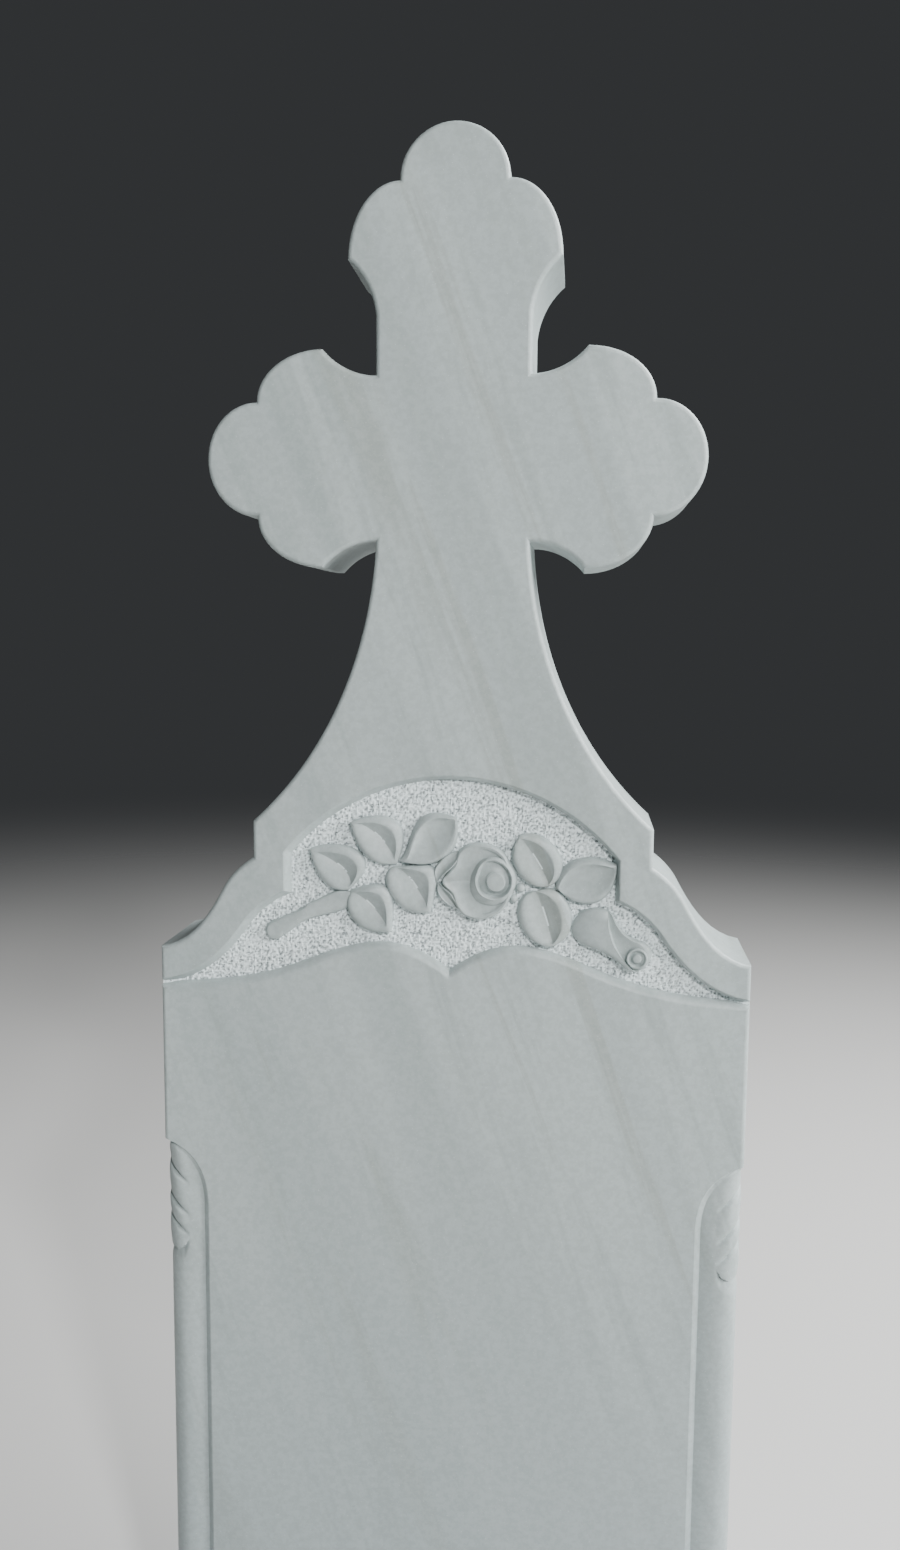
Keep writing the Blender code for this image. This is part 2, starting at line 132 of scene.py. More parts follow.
# The rounded lip of the recess: (distance from the edge, depth)
LIP_EDGE = ((0.0040, -0.0010), (0.0010, 0.00005), (-0.0002, 0.0006), (-0.0010, 0.0014))
# The leaves round a column's head: the grooves between them, and the hooked leaf over the shaft
CAPITAL_LENGTH = 0.100
GROOVES = (-0.020, 0.0195, 0.0485, 0.0668, 0.0985)
LEAF_SWELL = 0.0022
GROOVE_DEPTH = 0.0024
HEAD_INSET = 0.0010
GROOVE_WIDTH = 0.0017
LEAF_SLANT = 0.72
SLANT_START = -0.013
HOOK_UNDERCUT = 0.0032
HOOK_RECOVERY = 0.012
HOOK_EDGE = 0.0006
# Round the column, by the distance from its corner: how far the leaves show, how much lower the hook's edge lies
# and how much of the undercut it has
LEAF_SPAN = ((-0.036, -0.024, 0.006, 0.017), (0, 1, 1, 0))
HOOK_LINE = ((-0.03, -0.008, 0.006, 0.012, 0.016), (-0.008, 0, 0.002, -0.001, -0.008))
HOOK_COVER = ((-0.03, -0.02, 0.012, 0.0165), (0.3, 1, 1, 0))

# The carving stands on the ground of the field. Its places are measured from the middle of the slab's top, and
# its forms and the field's walls reach down to the bed below the ground
CARVING_DROP = 0.663
BED = -0.0025
# Each leaf: kind, base, tip, and for its left and its right edge (angle, pull) at the base and at the tip
LEAVES = (
    ("fold", (-0.0860, 0.0525), (-0.1183, 0.0875), (191, 0.39, 96, 0.54), (40, 1.00, 201, 0.65)),
    ("fold", (-0.0449, 0.0761), (-0.0840, 0.1105), (194, 0.64, 86, 0.12), (66, 0.91, 206, 0.49)),
    ("dish", (-0.0432, 0.0787), (0.0046, 0.1163), (-18, 0.51, 103, 0.59), (46, 0.31, -20, 0.73)),
    ("fold", (-0.0460, 0.0740), (-0.0160, 0.0365), (190, 0.44, 21, 0.72), (2, 0.73, -103, 1.02)),
    ("fold", (-0.0842, 0.0525), (-0.0495, 0.0182), (-121, 0.44, 14, 0.61), (20, 0.65, -98, 0.89)),
    ("fold", (0.0815, 0.0605), (0.0576, 0.1030), (198, 0.41, 51, 0.60), (22, 0.59, 197, 0.59)),
    ("dish", (0.0873, 0.0602), (0.1370, 0.0805), (-49, 0.68, 96, 0.60), (82, 0.51, -22, 0.46)),
    ("fold", (0.0715, 0.0560), (0.0868, 0.0107), (182, 0.59, 13, 0.65), (27, 0.63, 200, 0.64)),
)
# Where the rolled rim of each kind of leaf has its crest, as a part of its right half
CRESTS = {"fold": 0.60, "dish": 0.73}
# Heights across each form: (part of the half width, height), from its left edge to its right edge
ACROSS = {
    "fold": (
        (-1.02, 0.0), (-1.0, 0.0008), (-0.975, 0.0030), (-0.93, 0.0046), (-0.86, 0.0060), (-0.77, 0.0067),
        (-0.66, 0.0067), (-0.5, 0.0060), (-0.3, 0.0048), (-0.1, 0.0033), (0.0, 0.0022), (0.06, 0.0024),
        (0.25, 0.0040), (0.42, 0.0057), (0.54, 0.0070), (0.60, 0.0077), (0.66, 0.0077), (0.76, 0.0071),
        (0.88, 0.0061), (0.95, 0.0047), (1.0, 0.0026), (1.02, 0.0),
    ),
    "dish": (
        (-1.02, 0.0), (-1.0, 0.0008), (-0.97, 0.0030), (-0.92, 0.0048), (-0.84, 0.0062), (-0.75, 0.0065),
        (-0.64, 0.0060), (-0.5, 0.0050), (-0.2, 0.0040), (0.0, 0.0036), (0.25, 0.0037), (0.45, 0.0044),
        (0.60, 0.0058), (0.68, 0.0070), (0.73, 0.0077), (0.79, 0.0077), (0.88, 0.0066), (0.95, 0.0048),
        (1.0, 0.0028), (1.02, 0.0),
    ),
    "stem": (
        (-1.02, 0.0), (-1.0, 0.0006), (-0.94, 0.0026), (-0.80, 0.0041), (-0.55, 0.0050), (-0.2, 0.0054),
        (0.2, 0.0054), (0.5, 0.0052), (0.75, 0.0050), (0.90, 0.0042), (0.97, 0.0026), (1.0, 0.0008), (1.02, 0.0),
    ),
    "body": (
        (-1.02, 0.0), (-1.0, 0.0008), (-0.95, 0.0030), (-0.82, 0.0048), (-0.55, 0.0065), (-0.2, 0.0077),
        (0.2, 0.0084), (0.6, 0.0086), (0.86, 0.0086), (0.95, 0.0089), (1.0, 0.0084), (1.05, 0.0062), (1.07, 0.0),
    ),
    "petal": (
        (-1.1, 0.0), (-1.0, 0.0056), (-0.7, 0.0053), (-0.3, 0.0055), (0.1, 0.0061), (0.45, 0.0069),
        (0.7, 0.0072), (0.86, 0.0063), (0.95, 0.0045), (1.0, 0.0028), (1.04, 0.0),
    ),
}
# Edges of the stem and the bud, point by point, in millimetres
STEM_UPPER = (
    (-157.0, 16.5), (-156.5, 20.0), (-154.0, 22.6), (-149.8, 24.6), (-142.4, 27.9), (-132.7, 32.3), (-124.5, 36.6),
    (-121.8, 39.4), (-113.4, 43.3), (-103.7, 48.4), (-94.1, 52.0), (-84.0, 51.0),
)
STEM_LOWER = (
    (-157.0, 16.5), (-156.3, 12.5), (-153.5, 9.2), (-148.7, 7.6), (-141.4, 11.6), (-132.8, 17.9), (-124.3, 24.2),
    (-113.4, 28.4), (-103.8, 31.2), (-94.2, 33.9), (-87.0, 38.0), (-84.0, 51.0),
)
BUD_LEFT = (
    (131.0, 41.5), (125.0, 43.2), (118.0, 43.2), (109.2, 40.4), (102.6, 33.5), (100.6, 24.0), (103.4, 17.5),
    (109.8, 12.3), (121.2, 9.2), (130.1, 5.2), (139.0, -0.9), (147.9, -7.3), (154.5, -8.6),
)
BUD_LINE = (
    (131.0, 41.5), (131.4, 34.0), (132.8, 25.0), (137.4, 12.2), (143.9, 2.1), (150.4, -5.4), (154.5, -8.6),
)
BUD_RIGHT = (
    (131.0, 41.5), (134.5, 38.6), (138.2, 31.6), (144.0, 24.0), (152.5, 18.4), (161.4, 15.4), (167.0, 9.4),
    (166.6, 2.0), (162.0, -5.0), (154.5, -8.6),
)
# The two sepals behind the rose, each with both of its edges
SEPALS = (
    (((6.0, 88.5), (-3.0, 85.0), (-10.0, 78.5), (-13.5, 71.0), (-11.0, 62.0)),
     ((6.0, 88.5), (7.5, 82.0), (3.5, 75.5), (-3.0, 69.5), (-11.0, 62.0))),
    (((-10.5, 61.5), (-10.6, 54.0), (-7.0, 46.8), (0.0, 42.0), (8.0, 39.5)),
     ((-10.5, 61.5), (-4.0, 57.5), (1.5, 53.0), (5.0, 47.0), (8.0, 39.5))),
)
# The rose about the middle of its heart: (direction in degrees, radius in millimetres) of each edge
ROSE_CENTRE = (0.0363, 0.0632)
CUP_EDGE = (
    (40, 19), (56, 21.5), (68, 24.9), (87, 29.4), (109, 34.1), (126, 38.1), (140, 38.9), (152, 36.4), (160, 36.0),
    (168.5, 38.6), (176, 41.8), (180.5, 43.6), (185.5, 42.2), (191, 38.6), (197, 36.6), (204, 36.8), (213, 37.9),
    (230, 38.4), (252, 34.0), (272, 28.7), (294, 24.0), (308, 20.5), (330, 18.0),
)
HEART_EDGE = (
    (9, 19.4), (40, 20.6), (69, 22.2), (101, 22.0), (117, 21.4), (146, 19.6), (175, 19.8), (200, 21.4),
    (226, 22.4), (258, 21.2), (283, 20.2), (308, 19.8), (339, 18.4),
)
HEART_RIDGE = (
    (0, 15.6), (33, 16.6), (64, 17.9), (90, 19.2), (108, 19.4), (124, 18.2), (148, 15.9), (178, 14.8), (215, 14.6),
    (247, 14.3), (278, 14.4), (317, 14.8),
)
# The disc in the heart: how far it reaches right and up, and its radius
DISC = (0.0022, 0.0006, 0.0082)
# The cup's rim: (inset, height). Then the step between its petals, which fades, and the notch before it, each as
# (direction in degrees, height, spread in degrees)
CUP_RIM = ((0.0, 0.0012), (0.0003, 0.0042), (0.0010, 0.0060), (0.0024, 0.0068), (0.0046, 0.0061))
PETAL_STEP = (181, 0.0014, 55)
PETAL_DIP = (178, 0.0016, 4)
CUP_INSIDE = 0.016
HEART_VALLEY = 0.0026
# Each round form: middle and radius, with the heights of its rings as (part of the radius, height)
STEM_CUT = (-0.1490, 0.0160, 0.0078)
STEM_CUT_RINGS = (
    (1.02, BED), (1.0, 0.0012), (0.96, 0.0040), (0.88, 0.0050), (0.74, 0.0053), (0.5, 0.0052), (0.05, 0.0050),
)
BUD_HEART = (0.1553, 0.0029, 0.0090)
BUD_HEART_RINGS = (
    (1.05, BED), (1.0, 0.0066), (0.95, 0.0080), (0.88, 0.0087), (0.80, 0.0086), (0.72, 0.0074), (0.64, 0.0060),
    (0.56, 0.0058), (0.48, 0.0066), (0.42, 0.0078), (0.34, 0.0085), (0.2, 0.0087), (0.04, 0.0088),
)
BEADS = ((0.0587, 0.0586, 0.0040), (0.0530, 0.0493, 0.0034))
BEAD_RISE = 0.0022

# The marble: how the bands are stretched along the veins, and each band's colour with its noise (scale, detail,
# roughness, distortion) and the range of the noise over which it comes in
BAND_STRETCH = (1, 0.35, 0.06)
BANDS = {
    "cloud_colour": ((17, 2, 0.5, 0.3), (0.40, 0.60)),
    "streak_colour": ((42, 4, 0.6, 0.4), (0.47, 0.66)),
    "vein_colour": ((24, 5, 0.6, 0.6), (0.57, 0.68)),
}
# Painted shade that darkens the slab towards its foot: the levels between which it fades out, and its strength at
# the lower one
FOOT_SHADE_LEVELS = (0.20, 0.62)
FOOT_SHADE_STRENGTH = 0.55
# Painted glints: bright specks in the honed marble's colour, the scale of their cells and the range of distance
# over which they fade
GLINTS = 240
GLINT_RANGE = (0.05, 0.09)
# Where the punched ground turns from bruised white to a painted shade down in the marks: depths below the nominal
# ground, and the range of the noise that adds dark specks of the same painted shade
BRUISE_AND_SHADE_DEPTHS = (-0.0009, 0.0005)
PIT_SHADE_RANGE = (0.60, 0.72)
MOTTLE_RANGE = (0.38, 0.62)
MOTTLE_SHADE = 0.90
# Their noises as (scale, detail, roughness), and each finish's bumps: noise, strength, height
PIT_SHADE_NOISE = (330, 2, 0.5)
MOTTLE_NOISE = (210, 4, 0.65)
PUNCHED_BUMPS = ((620, 3, 0.6), 0.55, 0.0006)
HONED_BUMPS = ((900, 2, 0.5), 0.10, 0.0002)
PUNCHED_ROUGHNESS = 0.85
SPECULAR = 0.35
SHARP_ANGLE = 33

# The camera, with its turns (yaw, pitch, roll) in degrees, and the lights: place, size, and power as a multiple of
# a value of the stage
LENS = 28.93
CAMERA_PLACE = (0.1050, -1.0596, 1.0066)
CAMERA_TURNS = (5.952, 83.406, 0.440)
LIGHT_AIM = (0, 0, 0.8)
LIGHTS = {
    "key": ((1.38, -2.80, 2.55), 0.30, 1, "key_power"),
    "side": ((3.2, -1.1, 2.1), 1.6, 1, "side_power"),
    "rim": ((2.2, 1.0, 3.2), 1.4, 1, "rim_power"),
    "fill": ((-2.2, -2.0, 1.2), 1.6, 1, "fill_power"),
    "back": ((-1.2, 2.6, 2.4), 1.6, 2, "fill_power"),
}
# The floor: its radius, its corners, and the distances between which it fades out
FLOOR_RADIUS = 9
FLOOR_CORNERS = 96
FLOOR_FADE = (1.0, 7.0)


def heading(angle):
    """The unit step in the direction of an angle in degrees."""
    return np.array([math.cos(math.radians(angle)), math.sin(math.radians(angle))])


def bend(start, angle, end, end_angle, steps, pull=None, end_pull=None):
    """Points after the start along the cubic whose handles point along both angles, by pull times the chord."""
    start, end = np.array(start, float), np.array(end, float)
    chord = np.hypot(*(end - start))
    circle_pull = 1 / (3 * math.cos(math.radians(end_angle - angle) / 4) ** 2)
    first = start + heading(angle) * chord * (circle_pull if pull is None else pull)
    last = end - heading(end_angle) * chord * (circle_pull if end_pull is None else end_pull)
    t = np.linspace(0, 1, steps + 1)[1:, None]
    return (1 - t) ** 3 * start + 3 * (1 - t) ** 2 * t * first + 3 * (1 - t) * t * t * last + t**3 * end


def quarter(centre, across, along, steps):
    """Points after the start along an ellipse: centre + (across sin t, -along cos t) for t up to a right angle."""
    t = np.linspace(0, math.pi / 2, steps + 1)[1:, None]
    return np.array(centre) + np.hstack([across * np.sin(t), -along * np.cos(t)])


def through(points, steps):
    """Even steps along the curve through the points whose slope at each is half the gap between its neighbours."""
    p = np.array(points, float) / 1000
    ends = np.vstack([2 * p[0] - p[1], p, 2 * p[-1] - p[-2]])
    t = np.linspace(0, 1, 17)[:-1, None, None]
    a, b, c, d = ends[:-3], ends[1:-2], ends[2:-1], ends[3:]
    curve = 0.5 * (2 * b + (c - a) * t + (2 * a - 5 * b + 4 * c - d) * t**2 + (3 * b - a - 3 * c + d) * t**3)
    curve = np.vstack([curve.transpose(1, 0, 2).reshape(-1, 2), p[-1:]])
    run = np.append(0, np.cumsum(np.hypot(*np.diff(curve, axis=0).T)))
    even = np.linspace(0, run[-1], steps + 1)
    return np.column_stack([np.interp(even, run, curve[:, k]) for k in (0, 1)])


def trefoil(end, neck, steps):
    """Half the edge of a trefoil end: an ellipse quarter for the tip, one for the side lobe and a hollow cubic."""
    tip_width, tip_depth, span, depth, scoop = end
    tip_side = tip_width / 2
    tip = quarter((0, tip_depth), tip_side, tip_depth, steps)
    lobe = quarter((tip_side, depth), span / 2 - tip_side, depth - tip_depth, steps)
    hollow = bend((span / 2, depth), 140, (neck / 2, depth + scoop), 95, steps - 4)
    return np.vstack([tip, lobe, hollow])


def half_outline():
    """The right edge of the stone from its top to its foot: trefoils, straight necks, a flare and an ogee."""
    top_level = HIGH[2]
    arm = top_level - ARM_DROP
    neck = NECK_WIDTH / 2
    half_width = HIGH[0]
    top = trefoil(TOP_END, NECK_WIDTH, 14) * [1, -1] + [0, top_level]
    end = trefoil(ARM_END, ARM_WIDTH, 14)
    upper = np.column_stack([ARM_SPAN / 2 - end[:, 1], arm + end[:, 0]])
    lower = np.column_stack([ARM_SPAN / 2 - end[:, 1], arm - end[:, 0]])
    shoulder = np.array([SHOULDER_WIDTH / 2, top_level - SHOULDER_DROP])
    under = shoulder - [0, SHOULDER_HEIGHT]
    middle = under + OGEE_MID
    corner = (half_width, top_level - SLAB_DROP)
    leave, turn, arrive = OGEE_ANGLES
    return np.vstack([
        [(0, top_level)],
        top,
        [(neck, arm + ARM_WIDTH / 2)],
        upper[::-1],
        [(ARM_SPAN / 2, arm)],
        lower,
        [(neck, arm - ARM_WIDTH / 2)],
        bend((neck, arm - ARM_WIDTH / 2), FLARE_ANGLES[0], shoulder, FLARE_ANGLES[1], 30),
        [under],
        bend(under, leave, middle, turn, 8),
        bend(middle, turn, corner, arrive, 9),
        [(half_width, 0)],
    ])


def offset(points, width, closed):
    """Points moved to the right of the line's direction by a width, along the mitre of the two normals there."""
    before = np.roll(points, 1, axis=0)
    after = np.roll(points, -1, axis=0)
    if not closed:
        before[0] = 2 * points[0] - points[1]
        after[-1] = 2 * points[-1] - points[-2]
    normals = []
    for step in (points - before, after - points):
        step = step / np.hypot(step[:, 0], step[:, 1])[:, None]
        normals.append(np.column_stack([step[:, 1], -step[:, 0]]))
    middle = normals[0] + normals[1]
    middle = middle / (middle * normals[0]).sum(1)[:, None]
    return points + middle * np.reshape(width, (-1, 1))


def mirrored(half):
    """A line from the middle to the right, carried on from its mirror image."""
    return np.vstack([half[:0:-1] * [-1, 1], half])


def upright(points, depth):
    """Points of the front view in space: (x, front plane + depth, z), with one depth for all or one for each."""
    depth = np.broadcast_to(depth, len(points))
    return np.column_stack([points[:, 0], LOW[1] + depth, points[:, 1]])


def tube(name, rings):
    """A closed solid from a grid of rings (ring, place round it, axis), capped at both ends, faces outward."""
    grid = np.asarray(rings)
    count, around = grid.shape[:2]
    start = (np.arange(count - 1) * around)[:, None]
    here = np.arange(around)
    after = (here + 1) % around
    quads = np.stack([start + here, start + after, start + after + around, start + here + around], -1)
    caps = [list(range(around)), list(range((count - 1) * around, count * around))]
    mesh = bpy.data.meshes.new(name)
    mesh.from_pydata(grid.reshape(-1, 3).tolist(), [], quads.reshape(-1, 4).tolist() + caps)
    work = bmesh.new()
    work.from_mesh(mesh)
    bmesh.ops.remove_doubles(work, verts=work.verts, dist=2e-6)
    bmesh.ops.dissolve_degenerate(work, edges=work.edges, dist=2e-6)
    bmesh.ops.recalc_face_normals(work, faces=work.faces)
    if work.calc_volume(signed=True) < 0:
        bmesh.ops.reverse_faces(work, faces=work.faces)
    work.to_mesh(mesh)
    work.free()
    item = bpy.data.objects.new(name, mesh)
    bpy.context.scene.collection.objects.link(item)
    return item


def carve(target, tools, operation):
    """Adds solids to the target or cuts them away, applies the result and removes the tools."""
    for tool in tools:
        step = target.modifiers.new(tool.name, "BOOLEAN")
        step.operation = operation
        step.solver = "MANIFOLD"
        step.object = tool
    graph = bpy.context.evaluated_depsgraph_get()
    mesh = bpy.data.meshes.new_from_object(target.evaluated_get(graph))
    target.modifiers.clear()
    old = target.data
    target.data = mesh
    bpy.data.meshes.remove(old)
    for tool in tools:
        bpy.data.objects.remove(tool)
    if len(mesh.polygons) < FEWEST_FACES:
        raise RuntimeError(f"{operation} left only {len(mesh.polygons)} faces on {target.name}")


def field_lines():
    """The field's upper and lower edge from the middle to the right, and how full the field is at each station."""
    top_level, half_width = HIGH[2], HIGH[0]
    top = top_level - FIELD_DROP
    half = FIELD_HALF_WIDTH
    corner = top - FIELD_ARCH_RISE
    spread = math.degrees(2 * math.atan2(FIELD_ARCH_RISE, half))
    cheek = np.array([half, corner - FIELD_CHEEK])
    middle = cheek + FIELD_OGEE_MID
    end = np.array([half_width, top_level - FIELD_END_DROP])
    leave, turn, arrive = FIELD_OGEE_ANGLES
    past = np.array([0.01, 0])
    upper = np.vstack([
        [(0, top)],
        bend((0, top), 0, (half, corner), -spread, 36),
        np.linspace((half, corner), cheek, 5)[1:],
        bend(cheek, leave, middle, turn, 9),
        bend(middle, turn, end, arrive, 14),
        [end + past],
    ])
    fold = np.array([0, top_level - FOLD_DROP])
    crest = fold + CREST
    page = fold + PAGE_MID
    page_end = np.array([half_width, top_level - PAGE_END_DROP])
    rise, level, fall, run = PAGE_ANGLES
    curve = np.vstack([
        [fold],
        bend(fold, rise, crest, level, 60),
        bend(crest, level, page, fall, 60),
        bend(page, fall, page_end, run, 60),
        [page_end + past],
    ])
    steps = np.hypot(*np.diff(upper, axis=0).T)
    along = np.append(0, np.cumsum(steps)) / steps.sum() * curve[-1, 0]
    lower = np.column_stack([along, np.interp(along, curve[:, 0], curve[:, 1])])
    gap = np.hypot(*(upper - lower).T)
    full = np.minimum(1, gap / (FIELD_TAPER * (FIELD_SLOPES[1] + PAGE_SLOPE)))
    return upper, lower, full


def field_cut(depth):
    """The cutter's walls: a straight slope below the cross, a quarter round down from the face."""
    upper, lower, full = field_lines()
    upper, lower = mirrored(upper), mirrored(lower)
    full = np.append(full[:0:-1], full)[:, None]
    into = offset(upper, 1, False) - upper
    back = offset(lower, -1, False) - lower
    deep = depth - BED
    left, right = FIELD_SLOPES
    slope = (left + (right - left) * np.clip(0.5 + SLOPE_CHANGE * upper[:, :1], 0, 1)) / depth
    edge_inset, edge_depth = WALL_EDGE[-1]
    wall = [*WALL_EDGE, (edge_inset + (deep - edge_depth) * slope, deep)]
    turns = np.radians(np.linspace(90, 0, 8))
    page = [(PAGE_SLOPE + 0.0001, deep)]
    page += [(PAGE_SLOPE * math.sin(t), depth * (1 - math.cos(t))) for t in turns]
    page.append(PAGE_START)
    section = [upright(upper + into * full * inset, full[:, 0] * down) for inset, down in wall]
    section += [upright(lower + back * full * inset, full[:, 0] * down) for inset, down in page]
    return tube("field_cut", np.stack(section, axis=1))


def punched(x, z, pitch, seed=7):
    """How deep the punch went: cones round the points of a jittered grid, deepest at the nearest point."""
    rng = np.random.default_rng(seed)
    rows = int(np.ptp(z) / pitch) + 6
    columns = int(np.ptp(x) / pitch) + 6
    jitter = rng.uniform(-0.42, 0.42, (rows, columns, 2))
    size = rng.uniform(0.45, 1.0, (rows, columns))
    u = (x - x.min()) / pitch + 2
    v = (z - z.min()) / pitch + 2
    i, j = np.floor(v).astype(int), np.floor(u).astype(int)
    pit = np.zeros_like(x)
    for down in (-1, 0, 1):
        for side in (-1, 0, 1):
            row = np.clip(i + down, 0, rows - 1)
            column = np.clip(j + side, 0, columns - 1)
            du = u - (column + 0.5 + jitter[row, column, 0])
            dv = v - (row + 0.5 + jitter[row, column, 1])
            reach = np.hypot(du, dv) / MARK_REACH
            pit = np.maximum(pit, size[row, column] * np.clip(1 - reach, 0, 1) ** 0.8)
    return pit


def ground(depth, pitch, punch, spacing):
    """The space in front of the punched ground: a grid of the field's depth plus the pits, closed in front."""
    upper, lower, full = field_lines()
    half = HIGH[0] + GROUND_MARGIN
    columns = np.linspace(-half, half, int(2 * half / spacing))
    rows = np.arange(lower[:, 1].min() - GROUND_MARGIN, upper[0, 1] + GROUND_MARGIN, spacing)
    x, z = np.meshgrid(columns, rows)
    fullness = np.interp(np.abs(x), lower[:, 0], full)
    pit = punched(x, z, pitch) * punch
    rough = punched(x, z, pitch * UNEVEN[0], 11) * UNEVEN[1]
    y = LOW[1] + (depth + pit + rough - MARK_LIFT * punch) * fullness
    y[[0, -1]] = LOW[1] + depth
    front = LOW[1] - 0.02
    ends = [np.stack([x[:, k], np.full(len(rows), front), z[:, k]], -1) for k in (-1, 0)]
    grid = np.concatenate([np.stack([x, y, z], -1), ends[0][:, None], ends[1][:, None]], axis=1)
    return tube("ground_cut", grid)


def column_section(count=97):
    """A column's section as (distance from the side, from the front): a shallow arch, a quarter round, an arch."""
    round_centre = COLUMN_RADIUS + COLUMN_INSET
    foot = RECESS_WIDTH - LIP
    run, drop = foot - round_centre, HOLLOW_DEPTH - COLUMN_INSET
    radius = (run**2 + drop**2) / (2 * drop)
    tilt = np.linspace(math.asin(run / radius), 0, count)[:, None]
    arch = np.hstack([round_centre + radius * np.sin(tilt), COLUMN_INSET + radius * (1 - np.cos(tilt))])
    turn = np.linspace(0, math.pi / 2, 2 * count)[1:-1, None]
    corner = round_centre - COLUMN_RADIUS * np.hstack([np.sin(turn), np.cos(turn)])
    return np.vstack([arch, corner, arch[::-1, ::-1]])


def capital(down, along):
    """How far the leaves of a column's head stand out: powers of a sine between slanting grooves, then a hook."""
    window = np.interp(along, *LEAF_SPAN)
    level = down - LEAF_SLANT * (along - SLANT_START)
    index = np.clip(np.searchsorted(GROOVES, level, side="right") - 1, 0, len(GROOVES) - 2)
    first = np.array(GROOVES)[index]
    last = np.array(GROOVES)[index + 1]
    part = np.clip((level - first) / (last - first), 0, 1)
    swell = np.sin(math.pi * part**0.7) ** 0.6
    nearest = np.minimum(np.abs(level - first), np.abs(level - last))
    groove = np.exp(-((nearest / GROOVE_WIDTH) ** 2))
    lobes = window * (LEAF_SWELL * swell - GROOVE_DEPTH * groove - HEAD_INSET)
    hook = CAPITAL_LENGTH + np.interp(along, *HOOK_LINE)
    cover = np.interp(along, *HOOK_COVER)
    under = np.clip((down - hook) / HOOK_EDGE, 0, 1)
    recovery = np.clip(1 - (down - hook) / HOOK_RECOVERY, 0, 1) ** 1.5
    return lobes * (1 - under) - HOOK_UNDERCUT * cover * under * recovery


def recess_cut(side):
    """Cuts a corner down to its column: at each level the section is clipped to the width of the arched stop."""
    full = (RECESS_WIDTH, -RECESS_STOP)
    stop = bend((0, 0), RECESS_ANGLES[0], full, RECESS_ANGLES[1], 60, RECESS_PULL, RECESS_PULL)
    stop = np.vstack([[(0, 0)], stop])
    section = column_section()
    middle = len(section) // 2
    arc = np.append(0, np.cumsum(np.hypot(*np.diff(section, axis=0).T)))
    arc = arc - arc[middle]
    step = np.gradient(section, axis=0)
    outward = np.column_stack([step[:, 1], -step[:, 0]]) / np.hypot(step[:, 0], step[:, 1])[:, None]
    if outward[middle].sum() > 0:
        outward = -outward
    top = HIGH[2] - COLUMN_TOP_DROP
    length = top - COLUMN_FOOT
    near = np.concatenate([np.linspace(0.0006, 0.006, 8), np.arange(0.0072, CAPITAL_LENGTH + 0.018, 0.0012)])
    tail = length - np.linspace(1, 0.02, 26) ** 1.6 * RECESS_STOP
    downs = np.concatenate([near, np.linspace(near[-1], tail[0], 6)[1:-1], tail])
    spread = np.linspace(-1, 1, 61)
    rings = []
    for down in downs:
        width = np.interp(min(down, length - down), -stop[:, 1], stop[:, 0])
        part = width / RECESS_WIDTH
        wall = max(width - LIP, width * 0.5)
        reach = -np.interp(-wall, -section[: middle + 1, 0], arc[: middle + 1])
        along = -spread * reach
        points = np.column_stack([np.interp(-along, arc, section[:, k]) for k in (0, 1)])
        normal = np.column_stack([np.interp(-along, arc, outward[:, k]) for k in (0, 1)])
        edge = np.clip((reach - np.abs(along)) / 0.004, 0, 1)
        points = points + normal * (capital(np.full(len(along), down), along) * edge)[:, None]
        points = np.clip(points, 0.0003, wall)
        lip = np.array(LIP_EDGE) * part + [width, 0]
        outside = [(-LIP, lip[0, 0]), (-LIP, -LIP), (lip[0, 0], -LIP)]
        loop = np.vstack([lip, points, lip[::-1, ::-1], outside])
        level = np.full(len(loop), top - down)
        rings.append(np.column_stack([side * (HIGH[0] - loop[:, 0]), LOW[1] + loop[:, 1], level]))
    return tube("recess_cut", rings)


def place(points):
    """Points of the carving in the front view of the whole stone."""
    return np.asarray(points) + [0, HIGH[2] - CARVING_DROP]


def blade(name, sides, across, depth, rise=0.5, ramp=2.2, flat=0.5, crest=0.0):
    """A form between two edges that share their ends: the profile's heights across it, eased level at the ends.

    It starts at the share rise of its height and is full after 1 / ramp of its length. The smaller flat is, the
    longer the profile stays whole. With a crest, the rim beyond it keeps its width along the form, and the fold
    within it closes before both ends.
    """
    first, second = (place(side) for side in sides)
    spine = (first + second) / 2
    t = np.linspace(0, 1, len(first))
    lift = rise + (1 - rise) * np.sin(math.pi / 2 * np.minimum(1, ramp * t))
    body = np.clip(np.sin(math.pi * t), 0, 1) ** flat
    profile = np.array(across)
    middle = profile[2:-2, 1].mean()
    half = np.hypot(*(second - spine).T)
    widen = np.minimum(half.max() / np.maximum(half, 1e-6), 1 / (1 - crest)) if crest else np.ones(len(t))
    shrink = (1 - (1 - crest) * widen) / crest if crest else widen
    crest_height = profile[:, 1].max()
    upper = []
    for reach, height in profile:
        edge = first if reach < 0 else second
        part = np.full(len(t), abs(reach))
        level = np.full(len(t), height)
        if crest and abs(reach) < crest:
            level = crest_height - (crest_height - height) * shrink**0.8
            if reach > 0:
                part = reach * shrink
        elif crest and reach >= crest:
            part = 1 - (1 - reach) * widen
        line = spine + (edge - spine) * part[:, None]
        level = np.full(len(t), BED) if height == 0 else (middle + (level - middle) * body) * lift
        upper.append(upright(line, depth - level))
    return tube(name, np.stack(upper, axis=1))


def leaf_sides(base, tip, left, right, steps=30):
    """Both edges of a leaf from its base to its tip, as cubics with their own angles and pulls."""
    sides = []
    for angle, pull, end_angle, end_pull in (left, right):
        sides.append(np.vstack([[base], bend(base, angle, tip, end_angle, steps, pull, end_pull)]))
    return sides


